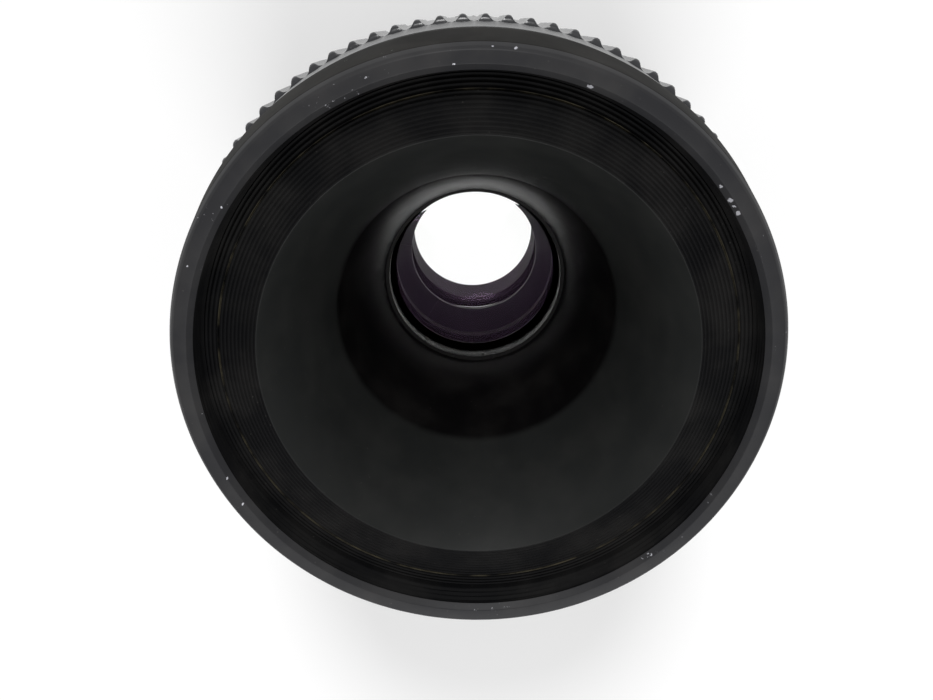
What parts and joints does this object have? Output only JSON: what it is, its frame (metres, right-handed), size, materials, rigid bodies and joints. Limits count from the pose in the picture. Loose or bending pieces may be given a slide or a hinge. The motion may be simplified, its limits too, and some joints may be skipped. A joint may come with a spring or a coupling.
{
  "type": "macro lens",
  "caption": "Manual-focus macro lens with a deep recessed front glass, knurled focusing ring, aperture ring and screw mount.",
  "frame": {"origin": "centre of the rear face of the mount ring, on which the lens stands", "axes": "+Z along the optical axis, out of the front; +X and +Y across it"},
  "size_m": [0.0638, 0.0638, 0.0638],
  "materials": {
    "black_anodised": "satin",
    "matt_black": "matt",
    "gloss_black": "gloss",
    "glass": "polished",
    "brass": "turned",
    "chromed_brass": "satin",
    "steel": "turned",
    "blued_steel": "matt"
  },
  "bodies": {
    "fixed": {"mount_ring": "chromed_brass", "mount_base": "black_anodised", "mount_screws": "steel", "barrel_screws": "steel", "fixed_barrel": "black_anodised", "focus_key_left": "brass", "focus_key_right": "brass", "key_screws": "steel", "focus_stop_pin": "steel", "click_spring": "steel"},
    "focus": {"focus_ring": "black_anodised", "focus_sleeve": "brass", "focus_grub_screws": "steel"},
    "block": {"slide_barrel": "black_anodised", "front_barrel": "black_anodised", "grooved_retaining_ring": "matt_black", "front_funnel": "matt_black", "front_cell": "matt_black", "front_bezel": "gloss_black", "front_element": "glass", "glass_spacer": "matt_black", "second_element": "glass", "rear_cell": "matt_black", "third_element": "glass", "fourth_element": "glass", "rear_retaining_ring": "matt_black"},
    "aperture": {"aperture_ring": "black_anodised", "aperture_arm": "brass", "arm_screw": "steel"},
    "iris_drive": {"iris_drive_ring": "matt_black", "iris_lever": "brass"},
    "click": {"click_ball": "steel"},
    "blade_1": {"iris_blade_1": "blued_steel"},
    "blade_2": {"iris_blade_2": "blued_steel"},
    "blade_3": {"iris_blade_3": "blued_steel"},
    "blade_4": {"iris_blade_4": "blued_steel"},
    "blade_5": {"iris_blade_5": "blued_steel"},
    "blade_6": {"iris_blade_6": "blued_steel"}
  },
  "joints": [
    {"name": "focus_turn", "type": "hinge", "parent": "fixed", "child": "focus", "pos_m": [0, 0, 0.045], "axis": [0, 0, 1], "range_deg": [0, 300]},
    {"name": "block_slide", "type": "slide", "parent": "fixed", "child": "block", "axis": [0, 0, 1], "range_m": [0, 0.0275]},
    {"name": "aperture_turn", "type": "hinge", "parent": "fixed", "child": "aperture", "pos_m": [0, 0, 0.0125], "axis": [0, 0, 1], "range_deg": [0, 50]},
    {"name": "iris_turn", "type": "hinge", "parent": "block", "child": "iris_drive", "pos_m": [0, 0, 0.0206], "axis": [0, 0, 1], "range_deg": [0, 50]},
    {"name": "click_press", "type": "slide", "parent": "fixed", "child": "click", "axis": [0, 0, 1], "range_m": [-0.00025, 0], "stiffness_N_per_m": 600, "springref_m": 0.0003, "deforming": ["click_spring"]},
    {"name": "blade_1_swing", "type": "hinge", "parent": "block", "child": "blade_1", "pos_m": [0.0166, 0, 0.0186], "axis": [0, 0, 1], "range_deg": [0, 24.7]},
    {"name": "blade_2_swing", "type": "hinge", "parent": "block", "child": "blade_2", "pos_m": [0.0083, 0.01438, 0.01875], "axis": [0, 0, 1], "range_deg": [0, 24.7]},
    {"name": "blade_3_swing", "type": "hinge", "parent": "block", "child": "blade_3", "pos_m": [-0.0083, 0.01438, 0.0189], "axis": [0, 0, 1], "range_deg": [0, 24.7]},
    {"name": "blade_4_swing", "type": "hinge", "parent": "block", "child": "blade_4", "pos_m": [-0.0166, 0, 0.01905], "axis": [0, 0, 1], "range_deg": [0, 24.7]},
    {"name": "blade_5_swing", "type": "hinge", "parent": "block", "child": "blade_5", "pos_m": [-0.0083, -0.01438, 0.0192], "axis": [0, 0, 1], "range_deg": [0, 24.7]},
    {"name": "blade_6_swing", "type": "hinge", "parent": "block", "child": "blade_6", "pos_m": [0.0083, -0.01438, 0.01935], "axis": [0, 0, 1], "range_deg": [0, 24.7]}
  ],
  "couplings": [
    {"joint": "block_slide", "follows": "focus_turn", "m_per_rad": 0.0052521},
    {"joint": "iris_turn", "follows": "aperture_turn", "ratio": 1},
    {"joint": "blade_1_swing", "follows": "aperture_turn", "ratio": 0.494},
    {"joint": "blade_2_swing", "follows": "aperture_turn", "ratio": 0.494},
    {"joint": "blade_3_swing", "follows": "aperture_turn", "ratio": 0.494},
    {"joint": "blade_4_swing", "follows": "aperture_turn", "ratio": 0.494},
    {"joint": "blade_5_swing", "follows": "aperture_turn", "ratio": 0.494},
    {"joint": "blade_6_swing", "follows": "aperture_turn", "ratio": 0.494}
  ]
}
